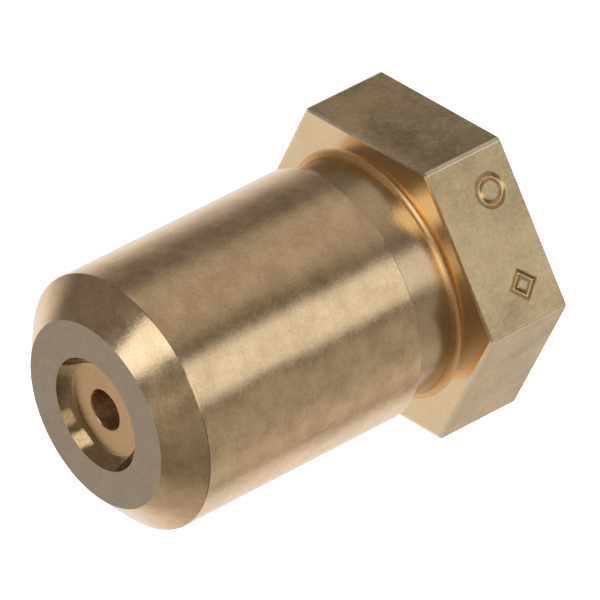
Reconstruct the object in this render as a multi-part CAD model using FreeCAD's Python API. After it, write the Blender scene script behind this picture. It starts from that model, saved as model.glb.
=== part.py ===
"""Simplex oil burner nozzle: a turned brass body with a hexagon at its inlet end.

Inside the body, from the tip to the inlet: the orifice disc, the swirl distributor that seats in
its cone, the hollow lock screw that holds the distributor, the strainer that pushes on the
screw's spigot, and the copper sealing washer in the mouth of the inlet thread.

Frame, in millimetres: the nozzle's axis is Y, with the tip towards -Y. The origin is on the axis in
the plane of the inlet face. Two of the hexagon's flats lie level, above and below the axis.
"""
import FreeCAD, Part
import math
import os

V = FreeCAD.Vector
ORIGIN = V(0, 0, 0)
AXIS = V(0, 1, 0)

# ---- driving dimensions, mm; a depth is counted from the tip face towards the inlet
LENGTH = 18.6
HEX_ACROSS_FLATS = 12.7
HEX_THICKNESS = 4.0
HEX_CORNER_R = 0.22
EDGE_BREAK = 0.08
TIP_EDGE_R = 0.05
BARREL_R = 5.556
TIP_FACE_R = 4.085
NOSE_CHAMFER = 1.3
RIM_DEPTH = 12.35
NECK_R = 5.19
NECK_FILLET = 0.3

RECESS_R = 2.45
RECESS_DEPTH = 0.5
RECESS_FLOOR_R = 2.03
LIP_R = 1.98
LIP_THICKNESS = 0.6

DISC_R = 3.10
DISC_THICKNESS = 2.0
ORIFICE_R = 0.875
ORIFICE_LAND = 1.0
ORIFICE_EDGE = 0.03
SWIRL_CONE_R = 2.3

DISTRIBUTOR_TIP_R = 1.2
DISTRIBUTOR_SHANK_R = 2.85
SEAT_GAP = 0.05
GALLERY_WIDTH = 0.4
OIL_GROOVES = 4
OIL_GROOVE_WIDTH = 0.8
OIL_GROOVE_DEPTH = 0.45
SWIRL_SLOT_OFFSET = 0.65
SWIRL_SLOT_WIDTH = 0.35
SWIRL_SLOT_DEPTH = 0.3

LOCK_BORE_R = 3.20
LOCK_PITCH = 0.75
LOCK_THREAD_DEPTH = 0.32
LOCK_BORE_START = 5.6
LOCK_BORE_END = 9.3
BORE_STEP = 0.15
LOCK_CLEARANCE = 0.05
SCREW_FRONT = 5.45
SCREW_PILOT_R = 2.6
SCREW_PILOT_LENGTH = 0.8
SCREW_THREAD_LENGTH = 1.9
SCREW_SPIGOT_R = 1.85
SCREW_SPIGOT_LENGTH = 1.4
SCREW_BORE_R = 0.95
SCREW_CHAMFER = 0.12
CROSS_SLOT_WIDTH = 0.9
CROSS_SLOT_DEPTH = 0.5
DRIVE_SLOT_WIDTH = 0.6
DRIVE_SLOT_DEPTH = 0.7

SOCKET_START = 8.35
SOCKET_R = 2.75
SOCKET_BORE_R = 1.90
SOCKET_SHOULDER = 9.7
SOCKET_END = 10.2
SOCKET_CHAMFER = 0.12
CORE_R = 2.15
CORE_WALL = 0.3
CORE_END = 12.85
CORE_HOLE_R = 0.35
CORE_HOLE_ROWS = 3
CORE_HOLES_PER_ROW = 8
CORE_HOLE_MARGIN = 0.45
GAUZE_R = 2.45
CAP_START = 12.35
CAP_END = 13.15
CAP_CHAMFER = 0.15

CHAMBER_R = 3.35
SHOULDER_DEPTH = 13.1
WASHER_THICKNESS = 0.7
WASHER_R = 4.12
WASHER_BORE_R = 3.42
WASHER_GAP = 0.05

RELIEF_R = 4.6
RELIEF_END = 14.1
INLET_R = 4.25
INLET_PITCH = 25.4 / 27
INLET_THREAD_DEPTH = 0.4
INLET_MOUTH_CHAMFER = 0.45
GROOVE_LAP = 0.03
GROOVE_START_ANGLE = 95.0
GROOVE_HALF_ANGLE = 30.0

OVERSHOOT = 1.0    # how far a cutter runs past the face that it opens into

MARK_DEPTH = 0.09
MARK_R = 0.72
MARK_LINE = 0.3
MARK_FLAT_TURN = 60.0
RING_MARK_ALONG = 0.24
RING_MARK_DEPTH = 17.24
DIAMOND_MARK_ALONG = 0.79
DIAMOND_MARK_DEPTH = 17.0


def at(depth):
    """The Y of a place that lies this far behind the tip face."""
    return depth - LENGTH


def turned(points):
    """A solid of revolution about the axis, from its half outline of (depth, radius) points."""
    corners = [V(radius, at(depth), 0) for depth, radius in points]
    outline = Part.makePolygon(corners + [corners[0]])
    return Part.Face(outline).revolve(ORIGIN, AXIS, 360)


def rod(radius, start, end):
    """A plain cylinder on the axis between two depths."""
    return Part.makeCylinder(radius, end - start, V(0, at(start), 0), AXIS)


def tube(outer_r, inner_r, start, end):
    """A plain tube on the axis between two depths."""
    return rod(outer_r, start, end).cut(rod(inner_r, start, end))


def ring_edges(solid, radius, depth):
    """The circular edges of one radius that lie at one depth."""
    found = []
    for edge in solid.Edges:
        curve = edge.Curve
        if not isinstance(curve, Part.Circle):
            continue
        if abs(curve.Radius - radius) < 1e-4 and abs(curve.Center.y - at(depth)) < 1e-4:
            found.append(edge)
    return found


def thread_groove(wall_r, tip_r, pitch, start, end):
    """A right-hand 60 degree V groove round the axis, from wall_r to tip_r, as a cutter."""
    lap = math.copysign(GROOVE_LAP, wall_r - tip_r)
    half_width = abs(tip_r - wall_r - lap) * math.tan(math.radians(GROOVE_HALF_ANGLE))
    helix = Part.makeHelix(pitch, end - start, wall_r)
    profile = Part.makePolygon([
        V(wall_r + lap, 0, -half_width),
        V(tip_r, 0, 0),
        V(wall_r + lap, 0, half_width),
        V(wall_r + lap, 0, -half_width),
    ])
    groove = Part.Wire(helix).makePipeShell([profile], True, True)
    groove.rotate(ORIGIN, V(1, 0, 0), -90)
    groove.rotate(ORIGIN, AXIS, GROOVE_START_ANGLE)
    groove.translate(V(0, at(start), 0))
    return groove


def hexagon():
    """The spanner hexagon, with rounded corners and lightly broken end edges."""
    corner_r = HEX_ACROSS_FLATS / math.sqrt(3)
    start = at(LENGTH - HEX_THICKNESS)
    corners = []
    for k in range(6):
        angle = math.radians(60 * k)
        corners.append(V(corner_r * math.cos(angle), start, corner_r * math.sin(angle)))
    block = Part.Face(Part.makePolygon(corners + [corners[0]])).extrude(V(0, HEX_THICKNESS, 0))
    long_edges = [e for e in block.Edges if abs(e.Length - HEX_THICKNESS) < 1e-6]
    block = block.makeFillet(HEX_CORNER_R, long_edges)
    end_edges = [e for e in block.Edges if e.BoundBox.YLength < 1e-6]
    return block.makeChamfer(EDGE_BREAK, end_edges)


def barrel():
    """The smooth barrel with its chamfered nose, and the neck that flares into the hexagon."""
    hex_face = LENGTH - HEX_THICKNESS
    solid = turned([
        (0, 0),
        (0, TIP_FACE_R),
        (NOSE_CHAMFER, BARREL_R),
        (RIM_DEPTH, BARREL_R),
        (RIM_DEPTH, NECK_R),
        (hex_face + OVERSHOOT, NECK_R),
        (hex_face + OVERSHOOT, 0),
    ])
    solid = solid.makeChamfer(EDGE_BREAK, ring_edges(solid, BARREL_R, RIM_DEPTH))
    return solid.makeFillet(TIP_EDGE_R, ring_edges(solid, TIP_FACE_R, 0))


def body_bore():
    """The stepped bore through the body, with the inlet still a plain hole."""
    lip_back = RECESS_DEPTH + LIP_THICKNESS
    recess = turned([
        (-OVERSHOOT, 0),
        (-OVERSHOOT, RECESS_R),
        (0, RECESS_R),
        (RECESS_DEPTH, RECESS_FLOOR_R),
        (RECESS_DEPTH, 0),
    ])
    bore = turned([
        (0, 0),
        (0, LIP_R),
        (lip_back, LIP_R),
        (lip_back, DISC_R),
        (LOCK_BORE_START, DISC_R),
        (LOCK_BORE_START + BORE_STEP, LOCK_BORE_R),
        (LOCK_BORE_END, LOCK_BORE_R),
        (LOCK_BORE_END + BORE_STEP, CHAMBER_R),
        (SHOULDER_DEPTH, CHAMBER_R),
        (SHOULDER_DEPTH, INLET_R),
        (LENGTH + OVERSHOOT, INLET_R),
        (LENGTH + OVERSHOOT, 0),
    ])
    return recess.fuse(bore)


def inlet_relief():
    """The ring cut away behind the inlet thread, where the washer sits."""
    return rod(RELIEF_R, SHOULDER_DEPTH, RELIEF_END)


def inlet_mouth():
    """The chamfer that leads into the inlet thread."""
    outer_r = INLET_R + INLET_MOUTH_CHAMFER
    return turned([
        (LENGTH - INLET_MOUTH_CHAMFER, 0),
        (LENGTH - INLET_MOUTH_CHAMFER, INLET_R),
        (LENGTH, outer_r),
        (LENGTH + OVERSHOOT, outer_r),
        (LENGTH + OVERSHOOT, 0),
    ])


def lock_thread():
    """The thread that the lock screw turns in."""
    return thread_groove(
        LOCK_BORE_R, LOCK_BORE_R + LOCK_THREAD_DEPTH, LOCK_PITCH,
        LOCK_BORE_START + LOCK_PITCH * 2 / 3, LOCK_BORE_END - LOCK_PITCH / 2)


def inlet_thread():
    """The thread that the supply pipe turns in, from the relief to the chamfer at the mouth."""
    return thread_groove(
        INLET_R, INLET_R + INLET_THREAD_DEPTH, INLET_PITCH,
        RELIEF_END - INLET_PITCH / 4, LENGTH - INLET_PITCH / 4)


def stamped_mark(shape, along, depth):
    """Sets a mark's cutter into the flat beside the top one, this share of the way down that flat."""
    flat_width = HEX_ACROSS_FLATS / math.sqrt(3)
    cutter = shape.copy()
    cutter.translate(V((along - 0.5) * flat_width, at(depth), HEX_ACROSS_FLATS / 2 - MARK_DEPTH))
    cutter.rotate(ORIGIN, AXIS, MARK_FLAT_TURN)
    return cutter


def ring_mark():
    """A small ring, as a cutter."""
    return Part.makeCylinder(MARK_R, OVERSHOOT).cut(Part.makeCylinder(MARK_R - MARK_LINE, OVERSHOOT))


def diamond(reach):
    """A square standing on its corner."""
    corners = [V(reach, 0, 0), V(0, reach, 0), V(-reach, 0, 0), V(0, -reach, 0)]
    return Part.Face(Part.makePolygon(corners + [corners[0]])).extrude(V(0, 0, OVERSHOOT))


def diamond_mark():
    """A small open diamond, as a cutter."""
    return diamond(MARK_R).cut(diamond(MARK_R - MARK_LINE * math.sqrt(2)))


def nozzle_body():
    """The one-piece brass body."""
    body = barrel().fuse(hexagon()).removeSplitter()
    body = body.makeFillet(NECK_FILLET, ring_edges(body, NECK_R, LENGTH - HEX_THICKNESS))
    cutters = [
        body_bore(),
        lock_thread(),
        inlet_thread(),
        inlet_relief(),
        inlet_mouth(),
        stamped_mark(ring_mark(), RING_MARK_ALONG, RING_MARK_DEPTH),
        stamped_mark(diamond_mark(), DIAMOND_MARK_ALONG, DIAMOND_MARK_DEPTH),
    ]
    for cutter in cutters:
        body = body.cut(cutter)
    return body


def swirl_cone_depth(radius):
    """The depth at which the disc's 45 degree swirl cone has this radius."""
    return RECESS_DEPTH + ORIFICE_LAND + radius - ORIFICE_R


def orifice_disc():
    """The disc with the orifice and the swirl cone. Its spigot is the floor of the tip's recess."""
    lip_back = RECESS_DEPTH + LIP_THICKNESS
    back = lip_back + DISC_THICKNESS
    return turned([
        (RECESS_DEPTH, ORIFICE_R + ORIFICE_EDGE),
        (RECESS_DEPTH, LIP_R),
        (lip_back, LIP_R),
        (lip_back, DISC_R),
        (back, DISC_R),
        (back, SWIRL_CONE_R),
        (swirl_cone_depth(SWIRL_CONE_R), SWIRL_CONE_R),
        (swirl_cone_depth(ORIFICE_R), ORIFICE_R),
        (RECESS_DEPTH + ORIFICE_EDGE, ORIFICE_R),
    ])


def swirl_slot(tip, shoulder, gallery):
    """A cutter for one slot in the distributor's cone, off to one side so that the oil spins."""
    middle = SWIRL_SLOT_OFFSET + SWIRL_SLOT_WIDTH / 2
    front = math.sqrt(DISTRIBUTOR_TIP_R ** 2 - middle ** 2) - SWIRL_SLOT_DEPTH
    back = math.sqrt((SWIRL_CONE_R - SEAT_GAP) ** 2 - middle ** 2) - SWIRL_SLOT_DEPTH
    slope = (back - front) / (shoulder - tip)
    start = tip - SWIRL_SLOT_WIDTH / 2
    side = [
        V(SWIRL_SLOT_OFFSET, at(start), front - (tip - start) * slope),
        V(SWIRL_SLOT_OFFSET, at(shoulder), back),
        V(SWIRL_SLOT_OFFSET, at(gallery), back),
        V(SWIRL_SLOT_OFFSET, at(gallery), DISC_R),
        V(SWIRL_SLOT_OFFSET, at(start), DISC_R),
    ]
    return Part.Face(Part.makePolygon(side + [side[0]])).extrude(V(SWIRL_SLOT_WIDTH, 0, 0))


def oil_groove(start):
    """A cutter for one axial groove in the distributor's shank."""
    groove = Part.makeBox(OIL_GROOVE_WIDTH, SCREW_FRONT - start + OVERSHOOT, DISC_R)
    floor = DISTRIBUTOR_SHANK_R - OIL_GROOVE_DEPTH
    groove.translate(V(-OIL_GROOVE_WIDTH / 2, at(start - GALLERY_WIDTH), floor))
    return groove


def swirl_distributor():
    """The cone that seats in the disc. Tangential slots in it spin the oil, and axial grooves feed them."""
    tip = swirl_cone_depth(DISTRIBUTOR_TIP_R) + SEAT_GAP * math.sqrt(2)
    shoulder_r = SWIRL_CONE_R - SEAT_GAP
    shoulder = tip + shoulder_r - DISTRIBUTOR_TIP_R
    gallery = RECESS_DEPTH + LIP_THICKNESS + DISC_THICKNESS + GALLERY_WIDTH
    back = SCREW_FRONT - SEAT_GAP
    plug = turned([
        (tip, 0),
        (tip, DISTRIBUTOR_TIP_R),
        (shoulder, shoulder_r),
        (gallery, shoulder_r),
        (gallery, DISTRIBUTOR_SHANK_R - EDGE_BREAK),
        (gallery + EDGE_BREAK, DISTRIBUTOR_SHANK_R),
        (back - EDGE_BREAK, DISTRIBUTOR_SHANK_R),
        (back, DISTRIBUTOR_SHANK_R - EDGE_BREAK),
        (back, 0),
    ])
    for k in range(OIL_GROOVES):
        for cutter in (swirl_slot(tip, shoulder, gallery), oil_groove(gallery)):
            cutter.rotate(ORIGIN, AXIS, 360 / OIL_GROOVES * k)
            plug = plug.cut(cutter)
    return plug


def lock_screw():
    """The hollow screw behind the distributor: an oil slot across its front, a driver slot behind."""
    thread_r = LOCK_BORE_R - LOCK_CLEARANCE
    thread_start = SCREW_FRONT + SCREW_PILOT_LENGTH
    thread_end = thread_start + SCREW_THREAD_LENGTH
    back = thread_end + SCREW_SPIGOT_LENGTH
    outline = turned([
        (SCREW_FRONT, SCREW_BORE_R),
        (SCREW_FRONT, SCREW_PILOT_R),
        (thread_start, SCREW_PILOT_R),
        (thread_start + BORE_STEP, thread_r),
        (thread_end, thread_r),
        (thread_end, SCREW_SPIGOT_R),
        (back - SCREW_CHAMFER, SCREW_SPIGOT_R),
        (back, SCREW_SPIGOT_R - SCREW_CHAMFER),
        (back, SCREW_BORE_R),
    ])
    threaded_bar = rod(thread_r, SCREW_FRONT, back).cut(thread_groove(
        thread_r, thread_r - LOCK_THREAD_DEPTH, LOCK_PITCH,
        thread_start - LOCK_PITCH / 3, thread_end + LOCK_PITCH / 2))
    cross_slot = Part.makeBox(2 * LOCK_BORE_R, CROSS_SLOT_DEPTH + OVERSHOOT, CROSS_SLOT_WIDTH)
    cross_slot.translate(V(-LOCK_BORE_R, at(SCREW_FRONT) - OVERSHOOT, -CROSS_SLOT_WIDTH / 2))
    drive_slot = Part.makeBox(2 * LOCK_BORE_R, DRIVE_SLOT_DEPTH + OVERSHOOT, DRIVE_SLOT_WIDTH)
    drive_slot.translate(V(-LOCK_BORE_R, at(back) - DRIVE_SLOT_DEPTH, -DRIVE_SLOT_WIDTH / 2))
    return threaded_bar.common(outline).cut(cross_slot).cut(drive_slot)


def strainer_socket():
    """The turned ring that pushes over the lock screw's spigot and holds the strainer's core."""
    return turned([
        (SOCKET_START, SOCKET_BORE_R + SOCKET_CHAMFER),
        (SOCKET_START, SOCKET_R - SOCKET_CHAMFER),
        (SOCKET_START + SOCKET_CHAMFER, SOCKET_R),
        (SOCKET_END, SOCKET_R),
        (SOCKET_END, CORE_R),
        (SOCKET_SHOULDER, CORE_R),
        (SOCKET_SHOULDER, SOCKET_BORE_R),
        (SOCKET_START + SOCKET_CHAMFER, SOCKET_BORE_R),
    ])


def strainer_core():
    """The perforated tube that keeps the gauze round."""
    core = tube(CORE_R, CORE_R - CORE_WALL, SOCKET_SHOULDER, CORE_END)
    first = SOCKET_END + CORE_HOLE_MARGIN
    step = (CAP_START - CORE_HOLE_MARGIN - first) / (CORE_HOLE_ROWS - 1)
    for row in range(CORE_HOLE_ROWS):
        for k in range(CORE_HOLES_PER_ROW // 2):
            angle = math.radians(360 / CORE_HOLES_PER_ROW * (k + 0.5 * (row % 2)))
            outwards = V(math.cos(angle), 0, math.sin(angle))
            start = V(0, at(first + row * step), 0) - outwards * (CORE_R + OVERSHOOT)
            drill = Part.makeCylinder(CORE_HOLE_R, 2 * (CORE_R + OVERSHOOT), start, outwards)
            core = core.cut(drill)
    return core


def strainer_gauze():
    """The sleeve of fine wire gauze over the core, as a plain tube."""
    return tube(GAUZE_R, CORE_R, SOCKET_END, CAP_START)


def strainer_cap():
    """The closed cap on the inlet end of the core."""
    return turned([
        (CAP_START, CORE_R),
        (CAP_START, SOCKET_R),
        (CAP_END - CAP_CHAMFER, SOCKET_R),
        (CAP_END, SOCKET_R - CAP_CHAMFER),
        (CAP_END, 0),
        (CORE_END, 0),
        (CORE_END, CORE_R),
    ])


def sealing_washer():
    """The flat copper washer that the supply pipe's end face squeezes against the body's inner shoulder."""
    start = SHOULDER_DEPTH + WASHER_GAP
    return tube(WASHER_R, WASHER_BORE_R, start, start + WASHER_THICKNESS)


PIECES = {
    "nozzle_body": nozzle_body,
    "orifice_disc": orifice_disc,
    "swirl_distributor": swirl_distributor,
    "lock_screw": lock_screw,
    "strainer_socket": strainer_socket,
    "strainer_core": strainer_core,
    "strainer_gauze": strainer_gauze,
    "strainer_cap": strainer_cap,
    "sealing_washer": sealing_washer,
}

os.makedirs("parts", exist_ok=True)
for name, make in PIECES.items():
    solid = make()
    solid.exportStep("parts/" + name + ".step")
    print(name, solid.isValid(), len(solid.Solids), round(solid.Volume, 3))
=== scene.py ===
"""The looks of the burner nozzle, in metres.

Most pieces are modelled again over their CAD nodes. The distributor, the lock screw and the strainer's
core are copies of theirs, with the sharp edges rounded off.

The nozzle's axis is Y and its tip points towards -Y. Depths are counted from the tip face towards
the inlet, and angles round the axis from +X towards +Z.
"""

import math

import bmesh
import bpy
import numpy as np
from mathutils import Matrix, Vector


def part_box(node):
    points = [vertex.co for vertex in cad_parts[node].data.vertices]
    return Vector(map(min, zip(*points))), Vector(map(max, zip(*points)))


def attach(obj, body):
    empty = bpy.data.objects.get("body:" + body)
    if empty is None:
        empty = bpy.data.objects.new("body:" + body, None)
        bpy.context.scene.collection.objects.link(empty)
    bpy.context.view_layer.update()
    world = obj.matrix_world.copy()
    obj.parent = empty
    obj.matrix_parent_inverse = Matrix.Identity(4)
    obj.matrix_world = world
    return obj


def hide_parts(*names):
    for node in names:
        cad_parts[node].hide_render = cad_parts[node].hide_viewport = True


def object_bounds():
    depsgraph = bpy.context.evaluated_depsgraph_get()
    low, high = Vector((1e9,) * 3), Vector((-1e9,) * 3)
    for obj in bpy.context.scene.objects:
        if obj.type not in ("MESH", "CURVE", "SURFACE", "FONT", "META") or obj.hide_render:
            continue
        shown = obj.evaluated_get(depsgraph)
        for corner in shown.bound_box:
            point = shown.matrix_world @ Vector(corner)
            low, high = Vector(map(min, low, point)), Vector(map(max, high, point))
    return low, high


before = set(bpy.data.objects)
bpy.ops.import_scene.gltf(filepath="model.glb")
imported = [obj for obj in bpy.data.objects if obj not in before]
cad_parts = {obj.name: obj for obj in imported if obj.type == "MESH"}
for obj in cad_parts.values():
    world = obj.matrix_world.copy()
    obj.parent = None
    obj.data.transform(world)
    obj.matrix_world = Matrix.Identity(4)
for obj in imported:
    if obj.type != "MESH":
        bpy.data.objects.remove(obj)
cad_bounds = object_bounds()

MM = 0.001
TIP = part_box("nozzle_body")[0].y
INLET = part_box("nozzle_body")[1].y
LENGTH = INLET - TIP
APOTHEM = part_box("nozzle_body")[1].z

# ---- the body, metres
BARREL_R = 5.556 * MM
TIP_FACE_R = 4.085 * MM
NOSE_CHAMFER = 1.3 * MM
RIM_DEPTH = 12.35 * MM
NECK_R = 5.19 * MM
NECK_FLARE = 0.12 * MM
NECK_FILLET = 0.3 * MM
HEX_THICKNESS = 4.0 * MM
HEX_CORNER_R = 0.22 * MM
EDGE_BREAK = 0.15 * MM      # how far a worn end edge of the hexagon reaches in; its paler colour is partly wear and partly painted highlight
EDGE_STEP = 0.06 * MM       # and how far it reaches along the axis
RECESS_R = 2.45 * MM
RECESS_DEPTH = 0.5 * MM
RECESS_FLOOR_R = 1.99 * MM
RECESS_CURVE = 1.5          # 1 would be a straight wall, 2 a wall that is as round as a bowl
LIP_R = 1.98 * MM
LIP_BACK = 1.1 * MM
DISC_R = 3.10 * MM
LOCK_BORE_R = 3.20 * MM
LOCK_BORE_START = 5.6 * MM
LOCK_BORE_END = 9.3 * MM
LOCK_PITCH = 0.75 * MM
LOCK_THREAD = 0.32 * MM
CHAMBER_R = 3.35 * MM
SHOULDER_DEPTH = 13.1 * MM
RELIEF_R = 4.6 * MM
RELIEF_END = 14.1 * MM
INLET_R = 4.25 * MM
INLET_PITCH = 25.4 / 27 * MM
INLET_THREAD = 0.4 * MM
MOUTH_CHAMFER = 0.45 * MM
BORE_STEP = 0.15 * MM

# ---- the pieces inside, metres
ORIFICE_R = 0.875 * MM
ORIFICE_LAND = 1.0 * MM
ORIFICE_EDGE = 0.04 * MM
SWIRL_CONE_R = 2.3 * MM
SOCKET_BORE_R = 1.90 * MM
SOCKET_CHAMFER = 0.12 * MM
SOCKET_SHOULDER = 0.5 * MM
SOCKET_GROOVE = 0.1 * MM
SOCKET_GROOVE_AT = 0.9 * MM
CORE_R = 2.15 * MM
CAP_CHAMFER = 0.15 * MM
CAP_FLOOR = 0.3 * MM
CAP_PIP_R = 0.18 * MM
WASHER_BORE_R = 3.42 * MM
WASHER_DIP = 0.02 * MM
WASHER_DIP_ROWS = (0.30, 0.42, 0.54, 0.66)   # shares of the washer's width
GAUZE_WIRE_R = 0.045 * MM
GAUZE_DEPTH = 2.2 * GAUZE_WIRE_R    # from the sleeve's outside to the middle of the weave
GAUZE_MARGIN = 1.5 * GAUZE_WIRE_R   # from each end of the sleeve to its last ring
GAUZE_RINGS = 12
GAUZE_LENGTHS = 80
GAUZE_LENGTH_STEPS = 5      # points of a lengthwise wire for each ring it crosses
GAUZE_RING_STEPS = 6        # points of a ring for each lengthwise wire it crosses

# ---- the two stamped marks, on the flat whose normal is 30 degrees up from +X
MARK_FLAT = 30.0
MARK_R = 0.72 * MM
MARK_LINE = 0.3 * MM
MARK_DEPTH = 0.075 * MM
MARK_SPREAD = 0.06 * MM     # how far a stamped line's sides run out
MARK_GLINT_DEPTH = 0.4 * MARK_DEPTH    # deeper than this, a mark takes the bore's warmer colour: a painted reflection, for the glints in a stamped line
MARK_REACH = MARK_R + 2 * MARK_SPREAD
MARK_ROW = 0.03 * MM        # the distance of the mesh's rows across the marks
UNMARKED_ROWS = 8           # rows from the hexagon's front edge to the marks
MARK_HALF_FLAT = 28.0       # degrees from the flat's middle to just short of its rounded corners
RING_MARK_AT = (1.906 * MM, 17.24 * MM)
DIAMOND_MARK_AT = (-2.126 * MM, 17.0 * MM)

# ---- the meshes
SOFT = 0.04 * MM            # how far a machined edge is rounded off
SOFT_SHARE = 0.45           # the most of a side that the rounding at one end takes
SOFT_ROWS = 5
RECESS_ROWS = 10
FILLET_ROWS = 10
HOLD = 0.035 * MM           # the distance of the row that keeps a face flat beside its edge
HOLD_FROM = 3               # how many times its rounding and that distance a side with such a row is long
WELD = 0.0002 * MM
SMOOTH_ANGLE = math.radians(32)
BEVEL_ANGLE = math.radians(35)
FLAT_ANGLE = math.radians(0.5)
BODY_STEP = 1.5             # degrees between a ring's points
LEAST_STEP = 0.02
PIECE_STEP = 2.5
THREAD_ROWS = 9             # rows for each turn of a thread
THREAD_ROOT = 0.36          # half of a thread groove's width, as a share of the pitch
THREAD_FLANK = 0.30         # the width of each of its flanks
WIRE_SIDES = 6
COS30 = math.cos(math.pi / 6)
SIN30 = 0.5


# ---------------------------------------------------------------- surfaces of revolution
def corner_span(corner_r, side):
    """Half the angle that a rounded corner of the hexagon takes up, seen from the axis."""
    centre = (side - corner_r) / COS30
    return math.atan2(corner_r * SIN30, centre + corner_r * COS30)


def off_corner(angles):
    """How far angles are from the nearest corner of the hexagon."""
    return np.abs((angles + math.pi / 6) % (math.pi / 3) - math.pi / 6)


def round_angles():
    """The angles of a ring's points: even steps, with more at the hexagon's corners and its marks."""
    angles = list(np.arange(0, 360, BODY_STEP))
    span = math.degrees(corner_span(HEX_CORNER_R, APOTHEM))
    hold = math.degrees(HOLD / APOTHEM)
    for corner in range(0, 360, 60):
        for reach in (0.5 * span, span, span + hold):
            angles += [corner - reach, corner + reach]
    for along, _ in (RING_MARK_AT, DIAMOND_MARK_AT):
        for offset in np.arange(-MARK_REACH, MARK_REACH, MARK_ROW):
            angles.append(MARK_FLAT + math.degrees(math.atan2(along + offset, APOTHEM)))
    angles = sorted(a % 360 for a in angles)
    kept = [angles[0]]
    for angle in angles[1:]:
        if angle - kept[-1] > LEAST_STEP:
            kept.append(angle)
    return np.radians(kept)


ROUND = round_angles()
PLAIN = np.radians(np.arange(0, 360, PIECE_STEP))


def hex_radius(angles, inset):
    """How far the hexagon's outline is from the axis, with its corners rounded and its sides moved in."""
    off = off_corner(angles)
    side = APOTHEM - inset
    corner_r = max(HEX_CORNER_R - inset, HOLD)
    centre = (side - corner_r) / COS30
    flat = side / np.cos(math.pi / 6 - off)
    under = np.maximum(corner_r ** 2 - (centre * np.sin(off)) ** 2, 0)
    rounded = centre * np.cos(off) + np.sqrt(under)
    return np.where(off > corner_span(corner_r, side), flat, rounded)


def on_corner(angles):
    """Which of the faces that start at these angles are on a rounded corner of the hexagon."""
    middle = angles + np.diff(np.append(angles, angles[0] + 2 * math.pi)) / 2
    return off_corner(middle) < corner_span(HEX_CORNER_R, APOTHEM)


def softened(points):
    """A half outline of (depth, radius, softness), with its soft corners rounded off.

    A side that is long enough gets a row beside each rounding, which keeps the rest of it flat.
    """
    rows = []
    for k, (depth, radius, soft) in enumerate(points):
        here = np.array([depth, radius])
        if soft == 0 or k in (0, len(points) - 1):
            rows.append(here)
            continue
        before = np.array(points[k - 1][:2]) - here
        after = np.array(points[k + 1][:2]) - here
        length_in = np.linalg.norm(before)
        length_out = np.linalg.norm(after)
        reach_in = min(soft, SOFT_SHARE * length_in)
        reach_out = min(soft, SOFT_SHARE * length_out)
        a = here + before / length_in * reach_in
        b = here + after / length_out * reach_out
        if length_in > HOLD_FROM * (reach_in + HOLD):
            rows.append(a + before / length_in * HOLD)
        for t in np.linspace(0, 1, SOFT_ROWS):
            rows.append((1 - t) ** 2 * a + 2 * t * (1 - t) * here + t ** 2 * b)
        if length_out > HOLD_FROM * (reach_out + HOLD):
            rows.append(b + after / length_out * HOLD)
    return [(float(depth), float(radius)) for depth, radius in rows]


def ring(depth, radius, angles):
    """One row of points round the axis. The depth and the radius may change with the angle."""
    radius = np.broadcast_to(radius, angles.shape)
    depth = np.broadcast_to(depth, angles.shape)
    return np.stack([radius * np.cos(angles), TIP + depth, radius * np.sin(angles)], axis=1)


class Surface:
    """Points and faces that are gathered from sheets of rows and then welded into one mesh."""

    def __init__(self):
        self.points = []
        self.faces = []
        self.materials = []

    def sheet(self, rows, material=0, closed=True):
        """Faces between rows of points. A closed sheet's rows are rings.

        material is one number, a list with one for each band of faces, or a list whose items are
        arrays with one for each face of the band.
        """
        start = len(self.points)
        width = len(rows[0])
        for row in rows:
            self.points.extend(map(tuple, row))
        for j in range(len(rows) - 1):
            band = material[j] if isinstance(material, list) else material
            for i in range(width if closed else width - 1):
                right = (i + 1) % width
                a = start + j * width + i
                b = start + j * width + right
                self.faces.append((a, b, b + width, a + width))
                self.materials.append(band[i] if isinstance(band, np.ndarray) else band)

    def finish(self, name, materials):
        """The welded mesh as an object."""
        mesh = bpy.data.meshes.new(name)
        mesh.from_pydata(self.points, [], self.faces)
        for material in materials:
            mesh.materials.append(material)
        mesh.polygons.foreach_set("material_index", self.materials)
        work = bmesh.new()
        work.from_mesh(mesh)
        bmesh.ops.remove_doubles(work, verts=work.verts, dist=WELD)
        bmesh.ops.dissolve_degenerate(work, edges=work.edges, dist=WELD)
        bmesh.ops.recalc_face_normals(work, faces=work.faces)
        work.to_mesh(mesh)
        work.free()
        mesh.shade_smooth()
        mesh.set_sharp_from_angle(angle=SMOOTH_ANGLE)
        piece = bpy.data.objects.new(name, mesh)
        bpy.context.scene.collection.objects.link(piece)
        return piece


# ---------------------------------------------------------------- materials
CLOUD_SCALE = 900.0         # scales are per metre
WAVE_SCALE = 260.0
PIT_SCALE = 2600.0
PIT_REACH = 0.22            # a pit's radius, as a share of a cell of its pattern
COLOUR_RANGE = (0.4, 0.6)   # where in the mix of noises the shade ends and the tone starts
GLOSS_RANGE = (0.3, 0.7)


def remapped(tree, value, old, new, kind="LINEAR"):
    """A value mapped from an old range to a new one, and kept inside it."""
    node = tree.nodes.new("ShaderNodeMapRange")
    node.interpolation_type = kind
    node.inputs["From Min"].default_value = old[0]
    node.inputs["From Max"].default_value = old[1]
    node.inputs["To Min"].default_value = new[0]
    node.inputs["To Max"].default_value = new[1]
    tree.links.new(value, node.inputs["Value"])
    return node.outputs["Result"]


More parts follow.
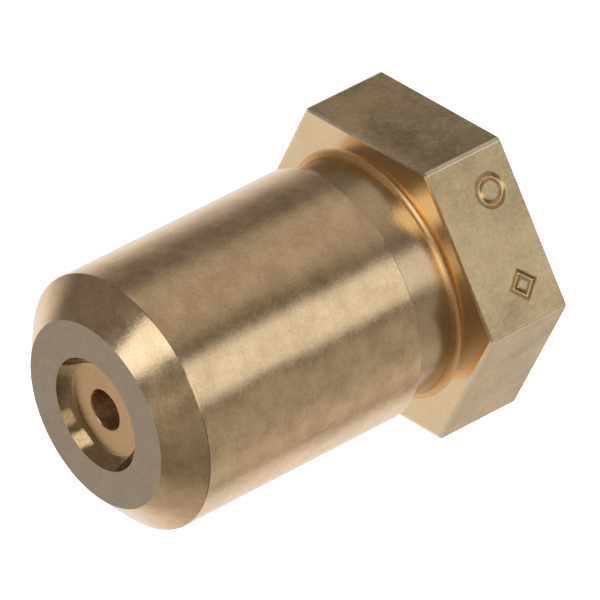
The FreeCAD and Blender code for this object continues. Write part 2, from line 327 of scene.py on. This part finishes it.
def noise(tree, scale, detail, roughness=0.5, stretch=None):
    """A noise over the piece's own coordinates. stretch gives a scale along each axis."""
    texture = tree.nodes.new("ShaderNodeTexNoise")
    texture.inputs["Scale"].default_value = scale
    texture.inputs["Detail"].default_value = detail
    texture.inputs["Roughness"].default_value = roughness
    vector = tree.nodes.new("ShaderNodeTexCoord").outputs["Object"]
    if stretch is not None:
        mapping = tree.nodes.new("ShaderNodeMapping")
        mapping.inputs["Scale"].default_value = stretch
        tree.links.new(vector, mapping.inputs["Vector"])
        vector = mapping.outputs["Vector"]
    tree.links.new(vector, texture.inputs["Vector"])
    return texture.outputs["Fac"]


def pits(tree):
    """Small round pits: 0 at their middles and 1 between them."""
    cells = tree.nodes.new("ShaderNodeTexVoronoi")
    cells.inputs["Scale"].default_value = PIT_SCALE
    tree.links.new(tree.nodes.new("ShaderNodeTexCoord").outputs["Object"], cells.inputs["Vector"])
    return remapped(tree, cells.outputs["Distance"], (0.0, PIT_REACH), (0.0, 1.0))


def relief(tree, layers):
    """The normal of a surface with one bump over another, each a height and its depth."""
    normal = None
    for height, depth in layers:
        bump = tree.nodes.new("ShaderNodeBump")
        bump.inputs["Strength"].default_value = 1.0
        bump.inputs["Distance"].default_value = depth
        tree.links.new(height, bump.inputs["Height"])
        if normal is not None:
            tree.links.new(normal, bump.inputs["Normal"])
        normal = bump.outputs["Normal"]
    return normal


def metal(name, tone, shade, rough, rough_spread, speck_scale, speck_depth, cloud_scale=CLOUD_SCALE,
          speckle=0.55, lines=None, line_depth=0.0, wave_depth=0.0, pit_depth=0.0):
    """A metal whose two colours and whose roughness are mixed by broad clouds and fine specks.

    speckle is the specks' share in that mix. The surface has the specks, the tool's lines, broad waves
    and small pits, each as deep as it says.
    """
    material = bpy.data.materials.new(name)
    material.use_nodes = True
    tree = material.node_tree
    shader = tree.nodes["Principled BSDF"]
    shader.inputs["Metallic"].default_value = 1.0

    specks = noise(tree, speck_scale, detail=2.0)
    clouds = noise(tree, cloud_scale, detail=5.0, roughness=0.65)
    mix = tree.nodes.new("ShaderNodeMix")
    mix.inputs["Factor"].default_value = speckle
    tree.links.new(clouds, mix.inputs["A"])
    tree.links.new(specks, mix.inputs["B"])

    colour = tree.nodes.new("ShaderNodeValToRGB")
    for element, position, value in zip(colour.color_ramp.elements, COLOUR_RANGE, (shade, tone)):
        element.position = position
        element.color = (*value, 1)
    tree.links.new(mix.outputs["Result"], colour.inputs["Fac"])
    tree.links.new(colour.outputs["Color"], shader.inputs["Base Color"])
    gloss = remapped(tree, mix.outputs["Result"], GLOSS_RANGE, (rough - rough_spread, rough + rough_spread))
    tree.links.new(gloss, shader.inputs["Roughness"])

    layers = [(specks, speck_depth)]
    if lines is not None:
        layers.append((noise(tree, 1.0, detail=3.0, stretch=lines), line_depth))
    if wave_depth > 0:
        layers.append((noise(tree, WAVE_SCALE, detail=1.0), wave_depth))
    if pit_depth > 0:
        layers.append((pits(tree), pit_depth))
    tree.links.new(relief(tree, layers), shader.inputs["Normal"])
    return material


# the scale of a tool's lines along each axis: fine across the lines and coarse along them
TURNED_LINES = (60.0, 9000.0, 60.0)
DRAWN_LINES = (2600.0, 120.0, 2600.0)

turned_brass = metal(
    "turned_brass", (0.87, 0.60, 0.34), (0.67, 0.45, 0.245), 0.18, 0.06, 8000.0, 0.0022 * MM,
    lines=TURNED_LINES, line_depth=0.0008 * MM, wave_depth=0.05 * MM, speckle=0.3)
# the hexagon's front face is brighter than the barrel's brass, to strengthen the reflections in it: painted
# reflection
formed_painted_reflection_brass = metal(
    "formed_painted_reflection_brass", (0.93, 0.70, 0.42), (0.84, 0.615, 0.36), 0.17, 0.04, 11000.0, 0.0016 * MM,
    lines=TURNED_LINES, line_depth=0.0008 * MM)
# the neck's brass is darker than the barrel's: painted shade of the recessed neck beside the hexagon
neck_painted_shade_brass = metal(
    "neck_painted_shade_brass", (0.72, 0.505, 0.295), (0.60, 0.41, 0.23), 0.21, 0.05, 11000.0, 0.0018 * MM,
    lines=TURNED_LINES, line_depth=0.0012 * MM)
drawn_brass = metal(
    "drawn_brass", (0.78, 0.56, 0.305), (0.48, 0.335, 0.175), 0.37, 0.08, 7000.0, 0.0035 * MM,
    lines=DRAWN_LINES, line_depth=0.002 * MM, cloud_scale=300.0, pit_depth=0.003 * MM, wave_depth=0.4 * MM,
    speckle=0.3)
faced_brass = metal(
    "faced_brass", (0.51, 0.395, 0.275), (0.40, 0.31, 0.21), 0.42, 0.06, 9000.0, 0.002 * MM)
# paler brass for the hexagon's edges and rounded corners: partly wear, partly painted highlight
worn_and_highlight_brass = metal(
    "worn_and_highlight_brass", (0.98, 0.82, 0.55), (0.84, 0.67, 0.42), 0.32, 0.06, 5000.0, 0.004 * MM)
# the bore's warm brass, also used in the deep parts of the stamped marks as a painted reflection
bore_and_glint_brass = metal(
    "bore_and_glint_brass", (0.80, 0.50, 0.235), (0.64, 0.38, 0.16), 0.24, 0.05, 8000.0, 0.0015 * MM,
    lines=TURNED_LINES, line_depth=0.0015 * MM)
# the disc's face, the recess floor, is darker and more orange than the body's brass: painted shade and
# painted reflection of the recess
disc_brass = metal(
    "disc_brass", (0.64, 0.395, 0.20), (0.52, 0.31, 0.145), 0.27, 0.05, 8000.0, 0.002 * MM)
screw_brass = metal(
    "screw_brass", (0.80, 0.56, 0.30), (0.64, 0.43, 0.21), 0.22, 0.05, 8000.0, 0.0015 * MM,
    lines=TURNED_LINES, line_depth=0.001 * MM)
# the orifice's wall in a light, reddish tone: painted light inside the dark hole
hole_painted_light_brass = metal(
    "hole_painted_light_brass", (0.90, 0.58, 0.30), (0.62, 0.34, 0.17), 0.5, 0.08, 7000.0, 0.004 * MM,
    lines=TURNED_LINES, line_depth=0.004 * MM)
# the fillet's brass is more orange than the body's: painted reflection of the brass round it
root_painted_reflection_brass = metal(
    "root_painted_reflection_brass", (0.96, 0.57, 0.25), (0.84, 0.47, 0.19), 0.30, 0.05, 9000.0, 0.002 * MM,
    lines=TURNED_LINES, line_depth=0.001 * MM)
# the recess wall's brass is much darker than the body's: painted shade inside the recess
dish_painted_shade_brass = metal(
    "dish_painted_shade_brass", (0.58, 0.37, 0.18), (0.42, 0.26, 0.12), 0.12, 0.04, 8000.0, 0.0015 * MM,
    lines=TURNED_LINES, line_depth=0.001 * MM)
copper = metal(
    "copper", (0.83, 0.42, 0.27), (0.66, 0.30, 0.18), 0.34, 0.07, 7000.0, 0.002 * MM,
    pit_depth=0.003 * MM)
steel = metal(
    "steel", (0.56, 0.55, 0.53), (0.44, 0.43, 0.41), 0.33, 0.06, 8000.0, 0.0015 * MM,
    lines=TURNED_LINES, line_depth=0.001 * MM)
wire_steel = metal(
    "wire_steel", (0.60, 0.59, 0.57), (0.47, 0.46, 0.44), 0.36, 0.05, 16000.0, 0.001 * MM)


# ---------------------------------------------------------------- the body
def mark_depth(along, depth):
    """How deep the two stamped marks, a ring and a diamond, are at a place on their flat."""
    ring_reach = np.hypot(along - RING_MARK_AT[0], depth - RING_MARK_AT[1])
    diamond_reach = np.abs(along - DIAMOND_MARK_AT[0]) + np.abs(depth - DIAMOND_MARK_AT[1])
    half = MARK_LINE / 2
    off_ring = np.abs(ring_reach - MARK_R + half)
    off_diamond = np.abs((diamond_reach - MARK_R) / math.sqrt(2) + half)
    off = np.where(along > 0, off_ring, off_diamond)
    sunk = np.clip(1 - off / (half + MARK_SPREAD), 0, 1)
    return MARK_DEPTH * sunk * sunk * (3 - 2 * sunk)


def flat_sink(depth):
    """How far the stamped marks sink each point of a ring on the hexagon."""
    off = ROUND - math.radians(MARK_FLAT)
    on_flat = np.abs(off) < math.radians(MARK_HALF_FLAT)
    off = np.where(on_flat, off, 0)
    return np.where(on_flat, mark_depth(APOTHEM * np.tan(off), depth) / np.cos(off), 0)


def hex_row(depth, inset=0.0):
    """A ring on the hexagon, sunk where the marks are."""
    return ring(depth, hex_radius(ROUND, inset) - flat_sink(depth), ROUND)


HEX_FRONT = LENGTH - HEX_THICKNESS
FILLET_END_R = NECK_R + NECK_FILLET
MOUTH_R = INLET_R + MOUTH_CHAMFER
BODY_MATERIALS = [
    turned_brass, drawn_brass, faced_brass, bore_and_glint_brass, worn_and_highlight_brass, formed_painted_reflection_brass, neck_painted_shade_brass,
    dish_painted_shade_brass, root_painted_reflection_brass,
]
TURNED, DRAWN, FACED, BORE_AND_GLINT, WORN_AND_HIGHLIGHT, FORMED_REFLECTION, NECK_SHADE, DISH_SHADE, ROOT_REFLECTION = range(len(BODY_MATERIALS))


def body_rings(body, outline, material):
    """A turned stretch of the body, from a half outline of (depth, radius, softness)."""
    body.sheet([ring(depth, radius, ROUND) for depth, radius in softened(outline)], material)


def thread_radius(depth, start, angles, pitch, wall_r, root_r):
    """The radius of a V thread that begins at start, at a depth and round the axis."""
    phase = (depth - start) / pitch - angles / (2 * math.pi)
    flank = np.clip((THREAD_ROOT - np.abs(phase % 1 - 0.5)) / THREAD_FLANK, 0, 1)
    return wall_r + (root_r - wall_r) * flank


def threaded(body, start, end, pitch, wall_r, root_r, least=None):
    """A helical thread between two depths, with both ends cut off square.

    least, if there is one, gives the smallest radius that the thread may have at a depth.
    """
    angles = np.append(ROUND, ROUND[0] + 2 * math.pi)
    turns = math.ceil((end - start) / pitch) + 1
    rows = []
    for j in range(turns * THREAD_ROWS + 1):
        depth = start + (j / THREAD_ROWS + angles / (2 * math.pi) - 1) * pitch
        depth = np.clip(depth, start, end)
        radius = thread_radius(depth, start, angles, pitch, wall_r, root_r)
        if least is not None:
            radius = np.maximum(radius, least(depth))
        rows.append(ring(depth, radius, angles))
    body.sheet(rows, BORE_AND_GLINT, closed=False)


def thread_face(body, depth, start, pitch, wall_r, root_r, edge_r):
    """The square face at a thread's end, out to the round edge of what comes next."""
    end = ring(depth, thread_radius(depth, start, ROUND, pitch, wall_r, root_r), ROUND)
    body.sheet([end, ring(depth, edge_r, ROUND)], BORE_AND_GLINT)


def tip(body):
    """The recess's wall and the ring-shaped face round it."""
    rim_r = RECESS_R + SOFT / 2
    wall = []
    for share in np.linspace(0, 1, RECESS_ROWS):
        depth = RECESS_DEPTH * (1 - share ** RECESS_CURVE)
        wall.append((depth, RECESS_FLOOR_R + share * (rim_r - RECESS_FLOOR_R), 0))
    # the recess wall in the darker tone, a painted shade
    body_rings(body, wall, DISH_SHADE)
    body_rings(body, [
        (0, rim_r, 0),
        (0, RECESS_R + SOFT, 0),
        (0, TIP_FACE_R - SOFT, 0),
        (0, TIP_FACE_R, 0),
    ], FACED)


def barrel_and_neck(body):
    """The nose, the barrel, and the neck with the fillet at its end."""
    neck_end = HEX_FRONT - NECK_FILLET
    body_rings(body, [
        (0, TIP_FACE_R, 0),
        (SOFT / 2, TIP_FACE_R + SOFT / 2, 0),
        (NOSE_CHAMFER, BARREL_R, SOFT),
        (RIM_DEPTH, BARREL_R, SOFT),
        (RIM_DEPTH, NECK_R - NECK_FLARE, 0),
    ], TURNED)
    # the neck in the darker tone, a painted shade
    body_rings(body, [
        (RIM_DEPTH, NECK_R - NECK_FLARE, 0),
        (neck_end - HOLD, NECK_R, 0),
    ], NECK_SHADE)
    # the fillet in the orange tone, a painted reflection
    fillet = [(neck_end - HOLD, NECK_R, 0)]
    for angle in np.linspace(0, math.pi / 2, FILLET_ROWS):
        depth = neck_end + NECK_FILLET * math.sin(angle)
        fillet.append((depth, FILLET_END_R - NECK_FILLET * math.cos(angle), 0))
    body_rings(body, fillet, ROOT_REFLECTION)


def hexagon(body):
    """The hexagon's two faces, and its flats with worn edges and corners and the two stamped marks. The
    paler edges and corners are partly wear and partly painted highlight; the deep parts of the marks carry
    a painted reflection in the bore's warmer colour.
    """
    front_edge = hex_row(HEX_FRONT, EDGE_BREAK)
    back_edge = hex_row(LENGTH, EDGE_BREAK)
    # the front face in the brighter tone, a painted reflection
    body.sheet([
        ring(HEX_FRONT, FILLET_END_R, ROUND),
        ring(HEX_FRONT, FILLET_END_R + HOLD, ROUND),
        hex_row(HEX_FRONT, EDGE_BREAK + HOLD),
        front_edge,
    ], FORMED_REFLECTION)
    marks_front = DIAMOND_MARK_AT[1] - MARK_REACH
    depths = [HEX_FRONT + EDGE_STEP, HEX_FRONT + EDGE_STEP + HOLD]
    depths += list(np.linspace(depths[-1], marks_front, UNMARKED_ROWS)[1:-1])
    depths += list(np.arange(marks_front - 2 * MARK_ROW, RING_MARK_AT[1] + MARK_REACH, MARK_ROW))
    depths += [LENGTH - EDGE_STEP - HOLD, LENGTH - EDGE_STEP]
    # the rounded corners in the paler colour: partly wear, partly painted highlight
    unmarked = np.where(on_corner(ROUND), WORN_AND_HIGHLIGHT, DRAWN)
    # the deep parts of the marks in the bore's warmer colour: a painted reflection
    sides = [np.where(flat_sink(depth) > MARK_GLINT_DEPTH, BORE_AND_GLINT, unmarked) for depth in depths[:-1]]
    rows = [hex_row(depth) for depth in depths]
    body.sheet([front_edge, *rows, back_edge], [WORN_AND_HIGHLIGHT, *sides, WORN_AND_HIGHLIGHT])
    body.sheet([
        back_edge,
        hex_row(LENGTH, EDGE_BREAK + HOLD),
        ring(LENGTH, MOUTH_R + HOLD, ROUND),
        ring(LENGTH, MOUTH_R, ROUND),
    ], FACED)


def inlet(body):
    """The inlet's thread, the relief behind it and the chamber that the strainer stands in."""
    root_r = INLET_R + INLET_THREAD
    threaded(body, RELIEF_END, LENGTH, INLET_PITCH, INLET_R, root_r,
             least=lambda depth: MOUTH_R - (LENGTH - depth))
    thread_face(body, RELIEF_END, RELIEF_END, INLET_PITCH, INLET_R, root_r, RELIEF_R)
    body_rings(body, [
        (RELIEF_END, RELIEF_R, 0),
        (SHOULDER_DEPTH, RELIEF_R, SOFT),
        (SHOULDER_DEPTH, CHAMBER_R, SOFT),
        (LOCK_BORE_END + BORE_STEP, CHAMBER_R, SOFT),
        (LOCK_BORE_END, LOCK_BORE_R, 0),
    ], BORE_AND_GLINT)


def lock_bore(body):
    """The lock screw's thread, the disc's bore and the lip that holds the disc."""
    root_r = LOCK_BORE_R + LOCK_THREAD
    start = LOCK_BORE_START + BORE_STEP
    threaded(body, start, LOCK_BORE_END, LOCK_PITCH, LOCK_BORE_R, root_r)
    for depth in (LOCK_BORE_END, start):
        thread_face(body, depth, start, LOCK_PITCH, LOCK_BORE_R, root_r, LOCK_BORE_R)
    body_rings(body, [
        (start, LOCK_BORE_R, 0),
        (LOCK_BORE_START, DISC_R, 0),
        (LIP_BACK, DISC_R, SOFT),
        (LIP_BACK, LIP_R, SOFT),
        (RECESS_DEPTH, LIP_R, 0),
        (RECESS_DEPTH, RECESS_FLOOR_R, 0),
    ], BORE_AND_GLINT)


def nozzle_body():
    """The one-piece body, inside and out."""
    body = Surface()
    tip(body)
    barrel_and_neck(body)
    hexagon(body)
    inlet(body)
    lock_bore(body)
    return body.finish("body", BODY_MATERIALS)


# ---------------------------------------------------------------- the pieces inside
def turned_piece(name, materials, *outlines):
    """A solid of revolution. Each material has one stretch of the half outline."""
    piece = Surface()
    for material, outline in enumerate(outlines):
        piece.sheet([ring(depth, radius, PLAIN) for depth, radius in softened(outline)], material)
    return piece.finish(name, materials)


def ends(node):
    """The depths of a CAD node's two ends and its outer radius."""
    low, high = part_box(node)
    return low.y - TIP, high.y - TIP, high.x


def orifice_disc():
    """The disc with the orifice drilled through it and the swirl cone behind."""
    front, back, outer = ends("orifice_disc")
    cone_front = front + ORIFICE_LAND
    cone_back = cone_front + SWIRL_CONE_R - ORIFICE_R
    face = [
        (front + ORIFICE_EDGE, ORIFICE_R, 0),
        (front, ORIFICE_R + ORIFICE_EDGE, 0),
        (front, ORIFICE_R + ORIFICE_EDGE + HOLD, 0),
        (front, LIP_R - HOLD, 0),
        (front, LIP_R, 0),
    ]
    outside = [
        (front, LIP_R, 0),
        (LIP_BACK, LIP_R, SOFT),
        (LIP_BACK, outer, SOFT),
        (back, outer, SOFT),
        (back, SWIRL_CONE_R, SOFT),
        (cone_back, SWIRL_CONE_R, SOFT),
        (cone_front, ORIFICE_R, 0),
    ]
    hole = [
        (cone_front, ORIFICE_R, 0),
        (front + ORIFICE_EDGE, ORIFICE_R, 0),
    ]
    # the disc's face in the darker tone, a painted shade
    return turned_piece("disc", [disc_brass, bore_and_glint_brass, hole_painted_light_brass], face, outside, hole)


def softened_copy(node, name, material, soft):
    """A piece with the CAD node's shape, its faces cleaned up and its sharp edges rounded off."""
    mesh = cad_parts[node].data.copy()
    mesh.name = name
    mesh.materials.clear()
    mesh.materials.append(material)
    work = bmesh.new()
    work.from_mesh(mesh)
    bmesh.ops.remove_doubles(work, verts=work.verts, dist=WELD)
    bmesh.ops.dissolve_limit(work, angle_limit=FLAT_ANGLE, verts=work.verts, edges=work.edges)
    edges = [e for e in work.edges if e.is_manifold and e.calc_face_angle(0) > BEVEL_ANGLE]
    bmesh.ops.bevel(work, geom=edges, offset=soft, segments=2, profile=0.5, affect="EDGES",
                    clamp_overlap=True)
    work.to_mesh(mesh)
    work.free()
    mesh.shade_smooth()
    mesh.set_sharp_from_angle(angle=SMOOTH_ANGLE)
    piece = bpy.data.objects.new(name, mesh)
    bpy.context.scene.collection.objects.link(piece)
    return piece


def strainer_socket():
    """The turned ring that carries the strainer, with a grip groove round it."""
    front, back, outer = ends("strainer_socket")
    groove = front + SOCKET_GROOVE_AT
    return turned_piece("socket", [screw_brass], [
        (front + SOCKET_CHAMFER, SOCKET_BORE_R, 0),
        (front, SOCKET_BORE_R + SOCKET_CHAMFER, SOFT / 2),
        (front, outer - SOCKET_CHAMFER, SOFT / 2),
        (front + SOCKET_CHAMFER, outer, SOFT / 2),
        (groove - SOCKET_GROOVE, outer, SOFT / 2),
        (groove, outer - SOCKET_GROOVE, SOFT / 2),
        (groove + SOCKET_GROOVE, outer, SOFT / 2),
        (back, outer, SOFT),
        (back, CORE_R, SOFT / 2),
        (back - SOCKET_SHOULDER, CORE_R, 0),
        (back - SOCKET_SHOULDER, SOCKET_BORE_R, SOFT / 2),
        (front + SOCKET_CHAMFER, SOCKET_BORE_R, 0),
    ])


def strainer_cap():
    """The turned cap on the strainer's inlet end, with the pip that the parting tool left."""
    front, back, outer = ends("strainer_cap")
    return turned_piece("cap", [screw_brass], [
        (back, WELD, 0),
        (back, CAP_PIP_R * 0.5, 0),
        (back - SOFT, CAP_PIP_R, SOFT / 4),
        (back - SOFT, CAP_PIP_R * 1.5, 0),
        (back, CAP_PIP_R * 2, 0),
        (back, outer - CAP_CHAMFER, SOFT / 2),
        (back - CAP_CHAMFER, outer, SOFT / 2),
        (front, outer, SOFT),
        (front, CORE_R, 0),
        (back - CAP_FLOOR, CORE_R, SOFT / 2),
        (back - CAP_FLOOR, WELD, 0),
    ])


def sealing_washer():
    """The flat copper ring, with a shallow dip round one of its faces."""
    front, back, outer = ends("sealing_washer")
    inner = WASHER_BORE_R
    dip = [(front + WASHER_DIP, inner + share * (outer - inner), 0) for share in WASHER_DIP_ROWS]
    return turned_piece("washer", [copper], [
        ((front + back) / 2, inner, 0),
        (front, inner, SOFT),
        *dip,
        (front, outer, 2 * SOFT),
        (back, outer, 2 * SOFT),
        (back, inner, 2 * SOFT),
        ((front + back) / 2, inner, 0),
    ])


def wire(piece, line, radius, closed):
    """A round wire along a line of points."""
    line = np.array(line)
    if closed:
        along = np.roll(line, -1, axis=0) - np.roll(line, 1, axis=0)
    else:
        along = np.gradient(line, axis=0)
    along /= np.linalg.norm(along, axis=1)[:, None]
    outwards = line * (1, 0, 1)
    outwards -= (outwards * along).sum(1)[:, None] * along
    outwards /= np.linalg.norm(outwards, axis=1)[:, None]
    side = np.cross(along, outwards)
    rows = []
    for turn in np.arange(WIRE_SIDES) * 2 * math.pi / WIRE_SIDES:
        rows.append(line + radius * (math.cos(turn) * outwards + math.sin(turn) * side))
    rows.append(rows[0])
    piece.sheet(rows, 0, closed=closed)


def strainer_gauze():
    """The sleeve of woven gauze: rings and lengthwise wires that pass over and under each other."""
    front, back, outer = ends("strainer_gauze")
    middle = outer - GAUZE_DEPTH
    piece = Surface()
    depths = np.linspace(front + GAUZE_MARGIN, back - GAUZE_MARGIN, GAUZE_RINGS)
    step = depths[1] - depths[0]
    angles = np.linspace(0, 2 * math.pi, GAUZE_LENGTHS * GAUZE_RING_STEPS, endpoint=False)
    for k, depth in enumerate(depths):
        radius = middle + GAUZE_WIRE_R * np.cos(angles * GAUZE_LENGTHS / 2 + math.pi * k)
        wire(piece, ring(depth, radius, angles), GAUZE_WIRE_R, closed=True)
    run = np.linspace(front, back, GAUZE_RINGS * GAUZE_LENGTH_STEPS)
    for k in range(GAUZE_LENGTHS):
        angle = 2 * math.pi * k / GAUZE_LENGTHS
        radius = middle - GAUZE_WIRE_R * np.cos((run - depths[0]) / step * math.pi + math.pi * k)
        line = np.stack([radius * math.cos(angle), TIP + run, radius * math.sin(angle)], axis=1)
        wire(piece, line, GAUZE_WIRE_R, closed=False)
    return piece.finish("gauze", [wire_steel])


# ---------------------------------------------------------------- light, floor and camera
AZIMUTH = 51.8              # degrees
ELEVATION = 32.5
ROLL = -3.88
LENS = 600.0                # millimetres, as Blender counts them
FRAME_WIDTH = 23.85 * MM    # what the picture spans at the object
LOOK_AT = Vector((3.52, -10.65, 3.38)) * MM
NEAREST = 10 * MM
FARTHEST = 10000 * MM
FLOOR_REACH = 400 * MM
FLOOR_GAP = 0.02 * MM
FLOOR_WHITE = (0.9, 0.9, 0.9, 1)
GLOWING_WHITE = (1, 1, 1, 1)


def camera():
    """A long lens, from the angle at which the object was photographed."""
    az, el, roll = math.radians(AZIMUTH), math.radians(ELEVATION), math.radians(ROLL)
    towards = Vector((math.sin(az) * math.cos(el), -math.cos(az) * math.cos(el), math.sin(el)))
    level = Vector((math.cos(az), math.sin(az), 0))
    right = math.cos(roll) * level + math.sin(roll) * towards.cross(level)
    up = towards.cross(right)
    data = bpy.data.cameras.new("camera")
    data.lens = LENS
    data.clip_start = NEAREST
    data.clip_end = FARTHEST
    eye = bpy.data.objects.new("camera", data)
    bpy.context.scene.collection.objects.link(eye)
    stand = Matrix((right, up, towards)).transposed().to_4x4()
    stand.translation = LOOK_AT + towards * (FRAME_WIDTH * LENS / data.sensor_width)
    eye.matrix_world = stand
    bpy.context.scene.camera = eye


def floor():
    """The white sheet under the object, which the metal doesn't mirror."""
    reach = FLOOR_REACH
    z = cad_bounds[0].z - FLOOR_GAP
    mesh = bpy.data.meshes.new("floor")
    corners = [(-reach, -reach, z), (reach, -reach, z), (reach, reach, z), (-reach, reach, z)]
    mesh.from_pydata(corners, [], [(0, 1, 2, 3)])
    sheet = bpy.data.objects.new("floor", mesh)
    bpy.context.scene.collection.objects.link(sheet)
    material = bpy.data.materials.new("floor_white")
    material.use_nodes = True
    shader = material.node_tree.nodes["Principled BSDF"]
    shader.inputs["Base Color"].default_value = FLOOR_WHITE
    shader.inputs["Roughness"].default_value = 0.9
    shader.inputs["Emission Color"].default_value = GLOWING_WHITE
    shader.inputs["Emission Strength"].default_value = 1.0
    mesh.materials.append(material)
    sheet.visible_glossy = False
    sheet.visible_diffuse = False


# each soft light: the two directions it reaches between, half its width and the softness of its edge in
# degrees, its strength and its tint
SOFT_LIGHTS = [
    ((0.77, 0.52, 0.37), (0.90, -0.10, 0.37), 15.3, 5.0, 0.77, (1.0, 1.12, 1.25)),
    ((0.88, -0.30, 0.34), (0.66, -0.72, 0.20), 10.0, 6.5, 0.64, (1.0, 1.10, 1.15)),
    ((-0.04, 0.52, 0.85), (-0.04, 0.40, 0.90), 22.0, 12.0, 0.29, (1.0, 1.0, 1.0)),
    ((0.01, -0.87, 0.49), (0.33, -0.50, 0.79), 12.0, 3.5, 1.20, (1.0, 1.15, 1.28)),
    ((0.78, 0.52, -0.34), (0.60, 0.55, -0.60), 18.0, 9.0, 0.27, (1.0, 1.0, 1.0)),
    ((0.12, 0.26, -0.96), (-0.12, 0.40, -0.90), 10.0, 7.0, 0.20, (1.0, 1.05, 1.10)),
    ((0.45, -0.85, -0.10), (0.20, -0.60, -0.77), 20.0, 15.0, 0.10, (1.0, 0.95, 0.88)),
]

ROOM_GREY = 0.19
TABLE_GREYS = (0.12, 0.97)
TABLE_TOWARDS = (0.0, 0.45, -1.0)       # the table takes over from the room along this direction
TABLE_EDGE = (-0.25, 0.45)
PALE_TOWARDS = (-0.7, 0.25, 0.0)        # and it gets paler along this one
PALE_RANGE = (-0.38, 0.47)


def studio():
    """Soft lights round the object, in a dim room over a table that is paler towards -X."""
    world = bpy.data.worlds.new("studio")
    world.use_nodes = True
    bpy.context.scene.world = world
    tree = world.node_tree
    nodes = tree.nodes
    links = tree.links
    background = nodes["Background"]
    looking = nodes.new("ShaderNodeTexCoord").outputs["Generated"]

    def dot(direction):
        node = nodes.new("ShaderNodeVectorMath")
        node.operation = "DOT_PRODUCT"
        links.new(looking, node.inputs[0])
        if isinstance(direction, bpy.types.NodeSocket):
            links.new(direction, node.inputs[1])
        else:
            node.inputs[1].default_value = direction
        return node.outputs["Value"]

    def combine(operation, a, b):
        node = nodes.new("ShaderNodeVectorMath")
        node.operation = operation
        second = node.inputs["Scale"] if operation == "SCALE" else node.inputs[1]
        for socket, value in ((node.inputs[0], a), (second, b)):
            if isinstance(value, tuple):
                socket.default_value = value
            else:
                links.new(value, socket)
        return node.outputs["Vector"]

    grey = nodes.new("ShaderNodeMix")
    low_down = remapped(tree, dot(TABLE_TOWARDS), TABLE_EDGE, (0.0, 1.0), "SMOOTHSTEP")
    table = remapped(tree, dot(PALE_TOWARDS), PALE_RANGE, TABLE_GREYS)
    links.new(low_down, grey.inputs["Factor"])
    grey.inputs["A"].default_value = ROOM_GREY
    links.new(table, grey.inputs["B"])
    total = combine("SCALE", (1.0, 1.0, 1.0), grey.outputs["Result"])
    for start, end, half, soft, strength, tint in SOFT_LIGHTS:
        start, end = Vector(start).normalized(), Vector(end).normalized()
        reach = end - start
        low = start.dot(reach) / reach.length_squared
        share = remapped(tree, dot(reach / reach.length_squared), (low, low + 1), (0.0, 1.0))
        nearest = combine("ADD", combine("SCALE", tuple(reach), share), tuple(start))
        close = dot(combine("NORMALIZE", nearest, (0.0, 0.0, 0.0)))
        edge = (math.cos(math.radians(half + soft)), math.cos(math.radians(half - soft)))
        glow = remapped(tree, close, edge, (0.0, strength), "SMOOTHSTEP")
        total = combine("ADD", total, combine("SCALE", tint, glow))
    rays = nodes.new("ShaderNodeLightPath")
    seen = combine("SCALE", (1.0, 1.0, 1.0), rays.outputs["Is Camera Ray"])
    links.new(combine("MAXIMUM", total, seen), background.inputs["Color"])
    background.inputs["Strength"].default_value = 1.0


# ---------------------------------------------------------------- put together
def place(piece, body, node):
    """Puts a piece on its CAD body, in place of its CAD node."""
    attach(piece, body)
    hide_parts(node)


place(nozzle_body(), "nozzle", "nozzle_body")
place(orifice_disc(), "nozzle", "orifice_disc")
place(softened_copy("swirl_distributor", "distributor", steel, SOFT), "distributor", "swirl_distributor")
place(softened_copy("lock_screw", "screw", screw_brass, SOFT / 2), "screw", "lock_screw")
place(strainer_socket(), "strainer", "strainer_socket")
place(softened_copy("strainer_core", "core", screw_brass, SOFT / 2), "strainer", "strainer_core")
place(strainer_gauze(), "strainer", "strainer_gauze")
place(strainer_cap(), "strainer", "strainer_cap")
place(sealing_washer(), "washer", "sealing_washer")

camera()
floor()
studio()
bpy.context.scene.view_settings.view_transform = "Standard"
